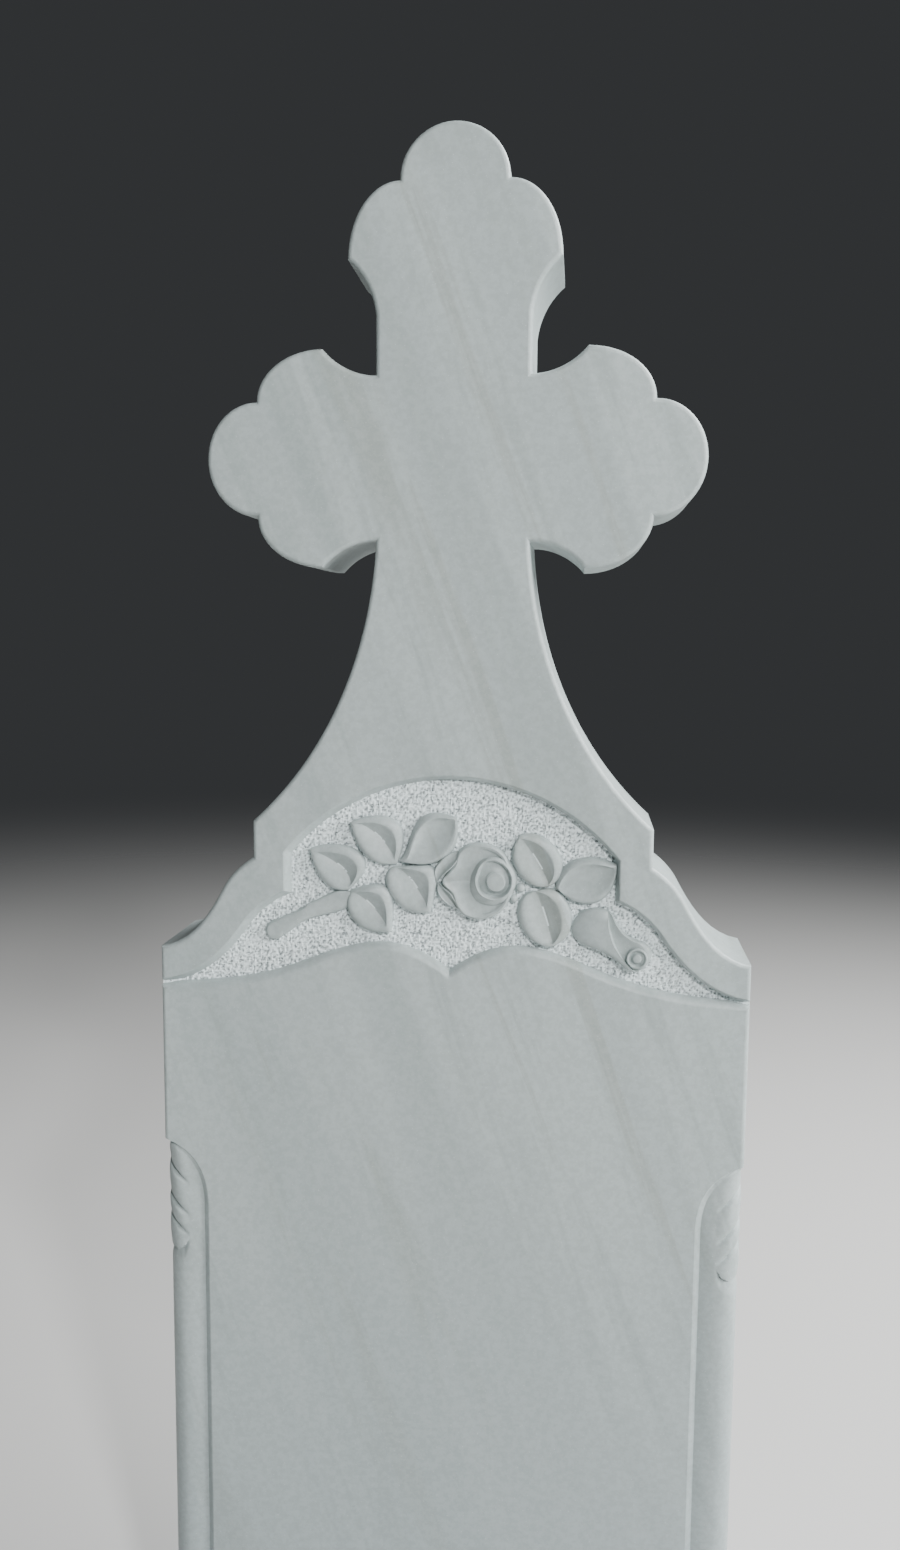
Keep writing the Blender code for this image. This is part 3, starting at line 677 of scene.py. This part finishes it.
def dome(name, centre, knots, depth, around):
    """A round form: rings at the radius and height of each knot, either of which may change with direction."""
    turn = np.arange(around) * 2 * math.pi / around
    aim = np.column_stack([np.cos(turn), np.sin(turn)])
    middle = place(centre)
    rings = []
    for radius, height in knots:
        reach = np.broadcast_to(radius, around)[:, None]
        rings.append(upright(middle + aim * reach, depth - np.broadcast_to(height, around)))
    return tube(name, rings)


def round_form(name, shape, rings, depth, around):
    """A round form of one radius, with each ring at its part of the radius."""
    x, z, radius = shape
    return dome(name, (x, z), [(radius * part, height) for part, height in rings], depth, around)


def by_direction(table, around):
    """A radius in metres for each direction, from a table of (direction in degrees, radius in millimetres)."""
    angles, radii = np.array(table).T
    turn = np.arange(around) * 360 / around
    raw = np.interp(turn, angles, radii, period=360) / 1000
    return (np.roll(raw, 1) + 2 * raw + np.roll(raw, -1)) / 4


def rose(depth):
    """The open rose: two outer petals as a cup with a step between them, and the rolled heart with its ridge."""
    around = 180
    turn = np.arange(around) * 360 / around
    edge = by_direction(CUP_EDGE, around)
    start, stand, fade = PETAL_STEP
    step = stand * np.exp(-np.clip(turn - start, 0, None) / fade) * (turn > start)
    notch, drop, spread = PETAL_DIP
    dip = drop * np.exp(-(((turn - notch) / spread) ** 2))
    cup = [(edge + 0.0006, BED)]
    cup += [(edge - inset, height + step - dip * min(1, inset / 0.002)) for inset, height in CUP_RIM]
    cup += [(edge * (1 - s) + CUP_INSIDE * s, 0.0054 - 0.0020 * s + step * (1 - s)) for s in (0.35, 0.7, 1.0)]
    cup.append((0.002, 0.0032))
    heart_edge = by_direction(HEART_EDGE, around)
    ridge = by_direction(HEART_RIDGE, around)
    across, up, radius = DISC
    radians = np.radians(turn)
    disc = radius + across * np.cos(radians) + up * np.sin(radians)
    valley = ridge - HEART_VALLEY
    low = 0.0036 + 0.0016 * np.clip(np.cos(radians - math.radians(100)), 0, 1)
    cleft = 0.0012 * np.clip(np.cos(radians - math.radians(40)), 0, 1)
    heart = [(heart_edge + 0.0008, BED), (heart_edge, 0.0030), (heart_edge - 0.0008, 0.0044)]
    heart += [(heart_edge + (ridge - heart_edge) * s, 0.0046 + 0.0036 * s) for s in (0.4, 0.7, 0.88)]
    heart += [(ridge, 0.0087), (ridge - 0.0007, 0.0084), (ridge - 0.0014, 0.0068), (valley, low)]
    heart += [(valley + (disc - valley) * s, low + 0.0022 * s * s) for s in (0.3, 0.65, 0.9)]
    heart += [(disc, low + 0.0034 - cleft), (disc * 0.94, 0.0080 - cleft * 0.5), (disc * 0.86, 0.0087)]
    heart += [(disc * 0.7, 0.0089), (disc * 0.4, 0.0091), (disc * 0.06, 0.0092)]
    forms = {"rose_cup": cup, "rose_heart": heart}
    return [dome(name, ROSE_CENTRE, rings, depth, around) for name, rings in forms.items()]


def bud(depth):
    """The half-open bud: a full body up to its petal line, the petal behind the line and the rolled tip."""
    left, line, right = (through(points, 44) for points in (BUD_LEFT, BUD_LINE, BUD_RIGHT))
    return [
        blade("bud_body", (left, line), ACROSS["body"], depth, rise=0.75, ramp=6, flat=0.35),
        blade("bud_petal", (line, right), ACROSS["petal"], depth, rise=0.75, ramp=6, flat=0.35),
        round_form("bud_heart", BUD_HEART, BUD_HEART_RINGS, depth, 64),
    ]


def beads(depth):
    """The small round buds between the rose and the leaves, as parts of spheres."""
    tilt = np.radians(np.linspace(0, 86, 8))
    items = []
    for x, z, radius in BEADS:
        rings = [(radius * 1.02, BED)]
        rings += [(radius * math.cos(t), BEAD_RISE + radius * math.sin(t)) for t in tilt]
        items.append(dome("bead", (x, z), rings, depth, 32))
    return items


def mix_colour(nodes, links, factor, first, second):
    """A colour between two others by a factor from 0 to 1."""
    mix = nodes.new("ShaderNodeMix")
    mix.data_type = "RGBA"
    links.new(factor, mix.inputs["Factor"])
    for socket, value in ((mix.inputs["A"], first), (mix.inputs["B"], second)):
        if isinstance(value, bpy.types.NodeSocket):
            links.new(value, socket)
        else:
            socket.default_value = (*value, 1)
    return mix.outputs["Result"]


def noise(nodes, links, vector, scale, detail, roughness, distortion=0.0):
    """A noise value over a vector."""
    node = nodes.new("ShaderNodeTexNoise")
    node.inputs["Scale"].default_value = scale
    node.inputs["Detail"].default_value = detail
    node.inputs["Roughness"].default_value = roughness
    node.inputs["Distortion"].default_value = distortion
    links.new(vector, node.inputs["Vector"])
    return node.outputs["Fac"]


def between(nodes, links, value, low, high, to_low=0.0, to_high=1.0):
    """A value mapped from one range to another, held at its ends and eased."""
    node = nodes.new("ShaderNodeMapRange")
    node.interpolation_type = "SMOOTHSTEP"
    links.new(value, node.inputs["Value"])
    for socket, number in (("From Min", low), ("From Max", high), ("To Min", to_low), ("To Max", to_high)):
        node.inputs[socket].default_value = number
    return node.outputs["Result"]


def mapped(nodes, links, vector, rotation=(0, 0, 0), scale=(1, 1, 1)):
    """A vector scaled and turned by a Mapping node."""
    node = nodes.new("ShaderNodeMapping")
    node.inputs["Rotation"].default_value = rotation
    node.inputs["Scale"].default_value = scale
    links.new(vector, node.inputs["Vector"])
    return node.outputs["Vector"]


def shaded(nodes, links, colour, shade):
    """A colour multiplied by a number."""
    darker = nodes.new("ShaderNodeVectorMath")
    darker.operation = "SCALE"
    darker.inputs["Scale"].default_value = shade
    links.new(colour, darker.inputs[0])
    return darker.outputs["Vector"]


def marble_material(name, look, rough_ground):
    """Grey-white marble with slanting veins: honed, with painted glints and painted shade towards the foot, or
    bruised white and pitted where the punch struck, with painted shade down in the marks.
    """
    material = bpy.data.materials.new(name)
    material.use_nodes = True
    nodes, links = material.node_tree.nodes, material.node_tree.links
    shader = nodes["Principled BSDF"]
    places = nodes.new("ShaderNodeTexCoord").outputs["Object"]
    along = mapped(nodes, links, places, (0, look.vein_slant, 0))
    bands = mapped(nodes, links, along, scale=BAND_STRETCH)
    colour = look.body_colour
    for name, (pattern, span) in BANDS.items():
        band = between(nodes, links, noise(nodes, links, bands, *pattern), *span)
        colour = mix_colour(nodes, links, band, colour, getattr(look, name))
    axes = nodes.new("ShaderNodeSeparateXYZ")
    links.new(places, axes.inputs["Vector"])
    # Painted shade: darker and bluer towards the foot, standing in for the light falling off lower down
    foot = between(nodes, links, axes.outputs["Z"], *FOOT_SHADE_LEVELS, FOOT_SHADE_STRENGTH, 0)
    colour = mix_colour(nodes, links, foot, colour, look.foot_shade_colour)
    # Painted glints: bright specks put into the colour where light would glance off crystals
    sparkle = nodes.new("ShaderNodeTexVoronoi")
    sparkle.inputs["Scale"].default_value = GLINTS
    links.new(places, sparkle.inputs["Vector"])
    glints = between(nodes, links, sparkle.outputs["Distance"], *GLINT_RANGE, 1, 0)
    colour = mix_colour(nodes, links, glints, colour, look.painted_glint_colour)
    if rough_ground:
        # Painted shade: the bruised white turns dark down in the punch marks, and noise adds dark specks of the
        # same shade
        bottom = LOW[1] + bpy.context.scene.stone_sizes.field_depth
        deep = between(nodes, links, axes.outputs["Y"], *(bottom + down for down in BRUISE_AND_SHADE_DEPTHS))
        colour = mix_colour(nodes, links, deep, look.bruise_colour, look.pit_shade_colour)
        pits = between(nodes, links, noise(nodes, links, places, *PIT_SHADE_NOISE), *PIT_SHADE_RANGE)
        colour = mix_colour(nodes, links, pits, colour, look.pit_shade_colour)
    else:
        mottle = between(nodes, links, noise(nodes, links, places, *MOTTLE_NOISE), *MOTTLE_RANGE)
        colour = mix_colour(nodes, links, mottle, colour, shaded(nodes, links, colour, MOTTLE_SHADE))
    pattern, strength, height = PUNCHED_BUMPS if rough_ground else HONED_BUMPS
    bump = nodes.new("ShaderNodeBump")
    bump.inputs["Strength"].default_value = strength
    bump.inputs["Distance"].default_value = height
    links.new(noise(nodes, links, places, *pattern), bump.inputs["Height"])
    links.new(bump.outputs["Normal"], shader.inputs["Normal"])
    links.new(colour, shader.inputs["Base Color"])
    shader.inputs["Roughness"].default_value = PUNCHED_ROUGHNESS if rough_ground else look.roughness
    shader.inputs["Specular IOR Level"].default_value = SPECULAR
    return material


def area_light(name, spot, size, power):
    """A square soft light at a spot, turned to the stone."""
    data = bpy.data.lights.new(name, "AREA")
    data.size = size
    data.energy = power
    lamp = bpy.data.objects.new(name, data)
    lamp.location = spot
    lamp.rotation_euler = (Vector(LIGHT_AIM) - Vector(spot)).to_track_quat("-Z", "Y").to_euler()
    bpy.context.scene.collection.objects.link(lamp)


# What the colours and the powers of the lights have in common
COLOUR = {"subtype": "COLOR", "size": 3, "min": 0, "max": 1}
POWER = {"unit": "POWER", "min": 0, "max": 2000}


class StoneSizes(PropertyGroup):
    """Sizes of the finish that a maker may change"""

    arris: FloatProperty(
        name="Arris", description="Radius of the eased edges round the stone", default=0.004,
        min=0.001, max=0.01, unit="LENGTH",
    )
    field_depth: FloatProperty(
        name="Field depth", description="How deep the punched field is sunk", default=0.009,
        min=0.004, max=0.02, unit="LENGTH",
    )
    punch_pitch: FloatProperty(
        name="Punch pitch", description="Distance between the marks of the punch", default=0.0024,
        min=0.001, max=0.01, unit="LENGTH",
    )
    punch_depth: FloatProperty(
        name="Punch depth", description="Depth of a mark of the punch", default=0.0018,
        min=0.0, max=0.003, unit="LENGTH",
    )
    ground_spacing: FloatProperty(
        name="Ground spacing", description="Distance between the points of the punched ground", default=0.00105,
        min=0.0005, max=0.01, unit="LENGTH",
    )


class MarbleLook(PropertyGroup):
    """Colours, gloss and veins of the marble"""

    body_colour: FloatVectorProperty(
        name="Body", description="Colour of the plain marble", default=(0.428, 0.488, 0.484), **COLOUR,
    )
    cloud_colour: FloatVectorProperty(
        name="Clouds", description="Colour of the broad darker bands", default=(0.386, 0.443, 0.442), **COLOUR,
    )
    streak_colour: FloatVectorProperty(
        name="Streaks", description="Colour of the fine streaks", default=(0.366, 0.422, 0.416), **COLOUR,
    )
    vein_colour: FloatVectorProperty(
        name="Veins", description="Colour of the warm thin veins", default=(0.354, 0.400, 0.384), **COLOUR,
    )
    # Painted shade: the colour the marble darkens to towards the foot
    foot_shade_colour: FloatVectorProperty(
        name="Foot", description="Colour of the damp marble at the foot", default=(0.345, 0.405, 0.418), **COLOUR,
    )
    # Painted glints: the colour of the bright specks that stand in for light glancing off crystals
    painted_glint_colour: FloatVectorProperty(
        name="Glints", description="Colour of the bright crystals", default=(0.60, 0.64, 0.64), **COLOUR,
    )
    bruise_colour: FloatVectorProperty(
        name="Bruised", description="Colour of the bruised marble", default=(0.840, 0.930, 0.940), **COLOUR,
    )
    # Painted shade: the dark colour in the bottoms of the marks
    pit_shade_colour: FloatVectorProperty(
        name="Pits", description="Colour of the bottoms of the marks", default=(0.215, 0.250, 0.255), **COLOUR,
    )
    roughness: FloatProperty(
        name="Roughness", description="Roughness of the honed faces", default=0.42, min=0, max=1, subtype="FACTOR",
    )
    vein_slant: FloatProperty(
        name="Vein slant", description="How far the veins lean from upright", default=math.radians(20),
        min=-math.pi / 2, max=math.pi / 2, subtype="ANGLE",
    )


class StageLook(PropertyGroup):
    """Colour of the floor, the light from all round and the powers of the lights"""

    floor_colour: FloatVectorProperty(
        name="Floor", description="Colour of the floor", default=(0.62, 0.62, 0.61), **COLOUR,
    )
    room_colour: FloatVectorProperty(
        name="Room", description="Colour of the light from all round", default=(0.90, 0.95, 1.0), **COLOUR,
    )
    room_strength: FloatProperty(
        name="Room strength", description="Strength of the light from all round", default=0.040, min=0, max=5,
    )
    key_power: FloatProperty(
        name="Key light", description="Power of the light from the front right", default=101, **POWER,
    )
    side_power: FloatProperty(
        name="Side light", description="Power of the light from the right", default=165, **POWER,
    )
    rim_power: FloatProperty(
        name="Rim light", description="Power of the light from above and behind", default=210, **POWER,
    )
    fill_power: FloatProperty(
        name="Fill light", description="Power of the light from the left", default=2, **POWER,
    )


class HEADSTONE_OT_slab(Operator):
    """Roughs out the slab in its outline with rounded arrises"""

    bl_idname = "headstone.slab"
    bl_label = "Rough out the slab"

    def execute(self, context):
        arris = context.scene.stone_sizes.arris
        edge = mirrored(half_outline())
        foot = edge[:, 1] < 1e-9
        thickness = HIGH[1] - LOW[1]
        rings = []
        front = [(1 - math.sin(t), 1 - math.cos(t)) for t in np.radians(np.linspace(0, 90, 8))]
        back = [(1 - math.cos(t), 1 - math.sin(t)) for t in np.radians(np.linspace(0, 90, 5))]
        levels = [(inset * arris, down * arris) for inset, down in front]
        levels += [(inset * arris, thickness - down * arris) for inset, down in back]
        for inset, depth in levels:
            line = offset(edge, inset, True) if inset > 0 else edge.copy()
            line[foot, 1] = 0
            line[foot, 0] = np.sign(edge[foot, 0]) * (HIGH[0] - inset)
            rings.append(upright(line, depth))
        tube(PIECE, rings)
        return {"FINISHED"}


class HEADSTONE_OT_field(Operator):
    """Sinks the field and punches its ground"""

    bl_idname = "headstone.field"
    bl_label = "Sink the field"

    def execute(self, context):
        sizes = context.scene.stone_sizes
        cut = field_cut(sizes.field_depth)
        spacing = sizes.ground_spacing * 1
        carve(cut, [ground(sizes.field_depth, sizes.punch_pitch, sizes.punch_depth, spacing)], "INTERSECT")
        carve(bpy.data.objects[PIECE], [cut], "DIFFERENCE")
        return {"FINISHED"}


class HEADSTONE_OT_columns(Operator):
    """Cuts both front corners down to their round columns with leaf heads"""

    bl_idname = "headstone.columns"
    bl_label = "Cut the columns"

    def execute(self, context):
        carve(bpy.data.objects[PIECE], [recess_cut(side) for side in (-1, 1)], "DIFFERENCE")
        return {"FINISHED"}


class HEADSTONE_OT_branch(Operator):
    """Carves the stem and the leaves"""

    bl_idname = "headstone.branch"
    bl_label = "Carve the branch"

    def execute(self, context):
        depth = context.scene.stone_sizes.field_depth
        stem = [through(side, 56) for side in (STEM_UPPER, STEM_LOWER)]
        parts = [blade("stem", stem[::-1], ACROSS["stem"], depth, rise=0.7, ramp=5, flat=0.3)]
        parts.append(round_form("stem_cut", STEM_CUT, STEM_CUT_RINGS, depth, 48))
        for kind, base, tip, left, right in LEAVES:
            sides = leaf_sides(base, tip, left, right)
            crest = CRESTS[kind]
            parts.append(blade("leaf", sides, ACROSS[kind], depth, rise=0.6, ramp=3, flat=0.3, crest=crest))
        carve(bpy.data.objects[PIECE], parts, "UNION")
        return {"FINISHED"}


class HEADSTONE_OT_flowers(Operator):
    """Carves the rose with its sepals, the bud and the beads"""

    bl_idname = "headstone.flowers"
    bl_label = "Carve the flowers"

    def execute(self, context):
        depth = context.scene.stone_sizes.field_depth
        sepals = [[through(side, 20) for side in pair] for pair in SEPALS]
        parts = [blade("sepal", sides, ACROSS["dish"], depth, rise=0.6) for sides in sepals]
        parts += rose(depth) + bud(depth) + beads(depth)
        carve(bpy.data.objects[PIECE], parts, "UNION")
        return {"FINISHED"}


class HEADSTONE_OT_finish(Operator):
    """Smooths the honed faces, gives each face its finish and ties the stone to its frame"""

    bl_idname = "headstone.finish"
    bl_label = "Finish the marble"

    def execute(self, context):
        scene = context.scene
        stone = bpy.data.objects[PIECE]
        mesh = stone.data
        mesh.materials.clear()
        mesh.materials.append(marble_material("honed_marble", scene.marble_look, False))
        mesh.materials.append(marble_material("punched_marble", scene.marble_look, True))
        mesh.polygons.foreach_set("material_index", self.struck(mesh, scene.stone_sizes))
        mesh.shade_smooth()
        mesh.set_sharp_from_angle(angle=math.radians(SHARP_ANGLE))
        steady = stone.modifiers.new("steady_shading", "WEIGHTED_NORMAL")
        steady.keep_sharp = True
        steady.weight = 60
        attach(stone, "root")
        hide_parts(NODE)
        return {"FINISHED"}

    @staticmethod
    def struck(mesh, sizes):
        """1 for each small face on the field's ground, by the depth of its middle and its slope, 0 elsewhere."""
        count = len(mesh.polygons)
        centre = np.empty(count * 3)
        normal = np.empty(count * 3)
        mesh.polygons.foreach_get("center", centre)
        mesh.polygons.foreach_get("normal", normal)
        x, y, z = centre.reshape(-1, 3).T
        upper, lower, full = field_lines()
        side = np.abs(x)
        inside = (z < np.interp(side, *upper.T)) & (z > np.interp(side, *lower.T))
        level = LOW[1] + sizes.field_depth * np.interp(side, lower[:, 0], full)
        on_ground = np.abs(y - level) < STRUCK_DEPTH * sizes.punch_depth
        area = np.empty(count)
        mesh.polygons.foreach_get("area", area)
        small = area < STRUCK_AREA * sizes.ground_spacing**2
        facing = normal.reshape(-1, 3)[:, 1] < -STRUCK_SLOPE
        return (inside & on_ground & small & facing).astype(np.int32)


class HEADSTONE_OT_stage(Operator):
    """Sets the floor, the soft lights and the camera"""

    bl_idname = "headstone.stage"
    bl_label = "Set the stage"

    def execute(self, context):
        scene = context.scene
        look = scene.stage_look
        self.floor(look)
        world = bpy.data.worlds.new("room")
        scene.world = world
        world.use_nodes = True
        back = world.node_tree.nodes["Background"]
        back.inputs["Color"].default_value = (*look.room_colour, 1)
        back.inputs["Strength"].default_value = look.room_strength
        for name, (spot, size, share, power) in LIGHTS.items():
            area_light(name, spot, size, getattr(look, power) * share)
        self.camera(scene)
        return {"FINISHED"}

    @staticmethod
    def floor(look):
        """A round floor under the stone, its corners on a circle, that fades out far from it."""
        turn = np.linspace(0, 2 * math.pi, FLOOR_CORNERS + 1)[:-1]
        ring = np.column_stack([np.cos(turn), np.sin(turn), 0 * turn]) * FLOOR_RADIUS
        mesh = bpy.data.meshes.new("floor")
        mesh.from_pydata(ring.tolist(), [], [list(range(FLOOR_CORNERS))])
        floor = bpy.data.objects.new("floor", mesh)
        bpy.context.scene.collection.objects.link(floor)
        material = bpy.data.materials.new("pale_floor")
        material.use_nodes = True
        nodes, links = material.node_tree.nodes, material.node_tree.links
        shader = nodes["Principled BSDF"]
        shader.inputs["Base Color"].default_value = (*look.floor_colour, 1)
        shader.inputs["Roughness"].default_value = 0.8
        reach = nodes.new("ShaderNodeVectorMath")
        reach.operation = "LENGTH"
        links.new(nodes.new("ShaderNodeTexCoord").outputs["Object"], reach.inputs[0])
        fade = between(nodes, links, reach.outputs["Value"], *FLOOR_FADE)
        mix = nodes.new("ShaderNodeMixShader")
        links.new(fade, mix.inputs["Fac"])
        links.new(shader.outputs["BSDF"], mix.inputs[1])
        links.new(nodes.new("ShaderNodeBsdfTransparent").outputs["BSDF"], mix.inputs[2])
        links.new(mix.outputs["Shader"], nodes["Material Output"].inputs["Surface"])
        mesh.materials.append(material)

    @staticmethod
    def camera(scene):
        """The camera at the photograph's place, turned by its yaw, pitch and roll."""
        data = bpy.data.cameras.new("camera")
        data.lens = LENS
        data.sensor_width = 36
        data.sensor_fit = "AUTO"
        data.clip_start = 0.02
        camera = bpy.data.objects.new("camera", data)
        yaw, pitch, roll = (math.radians(value) for value in CAMERA_TURNS)
        turned = Matrix.Rotation(yaw, 4, "Z") @ Matrix.Rotation(pitch, 4, "X") @ Matrix.Rotation(roll, 4, "Z")
        camera.matrix_world = Matrix.Translation(CAMERA_PLACE) @ turned
        scene.collection.objects.link(camera)
        scene.camera = camera


STEPS = (
    HEADSTONE_OT_slab,
    HEADSTONE_OT_field,
    HEADSTONE_OT_columns,
    HEADSTONE_OT_branch,
    HEADSTONE_OT_flowers,
    HEADSTONE_OT_finish,
    HEADSTONE_OT_stage,
)


class HEADSTONE_PT_panel(Panel):
    """Sizes, colours and steps of the headstone"""

    bl_idname = "HEADSTONE_PT_panel"
    bl_label = "Headstone"
    bl_space_type = "VIEW_3D"
    bl_region_type = "UI"
    bl_category = "Headstone"

    def draw(self, context):
        for group in (context.scene.stone_sizes, context.scene.marble_look, context.scene.stage_look):
            box = self.layout.box()
            for name in group.__annotations__:
                box.prop(group, name)
        for step in STEPS:
            self.layout.operator(step.bl_idname)


GROUPS = (("stone_sizes", StoneSizes), ("marble_look", MarbleLook), ("stage_look", StageLook))


def register():
    for name, group in GROUPS:
        bpy.utils.register_class(group)
        setattr(bpy.types.Scene, name, PointerProperty(type=group))
    for item in (*STEPS, HEADSTONE_PT_panel):
        bpy.utils.register_class(item)


def unregister():
    for item in (HEADSTONE_PT_panel, *reversed(STEPS)):
        bpy.utils.unregister_class(item)
    for name, group in reversed(GROUPS):
        delattr(bpy.types.Scene, name)
        bpy.utils.unregister_class(group)


def main():
    """Runs each step in order."""
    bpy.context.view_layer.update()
    register()
    bpy.ops.headstone.slab()
    bpy.ops.headstone.field()
    bpy.ops.headstone.columns()
    bpy.ops.headstone.branch()
    bpy.ops.headstone.flowers()
    bpy.ops.headstone.finish()
    bpy.ops.headstone.stage()


if __name__ == "__main__":
    main()
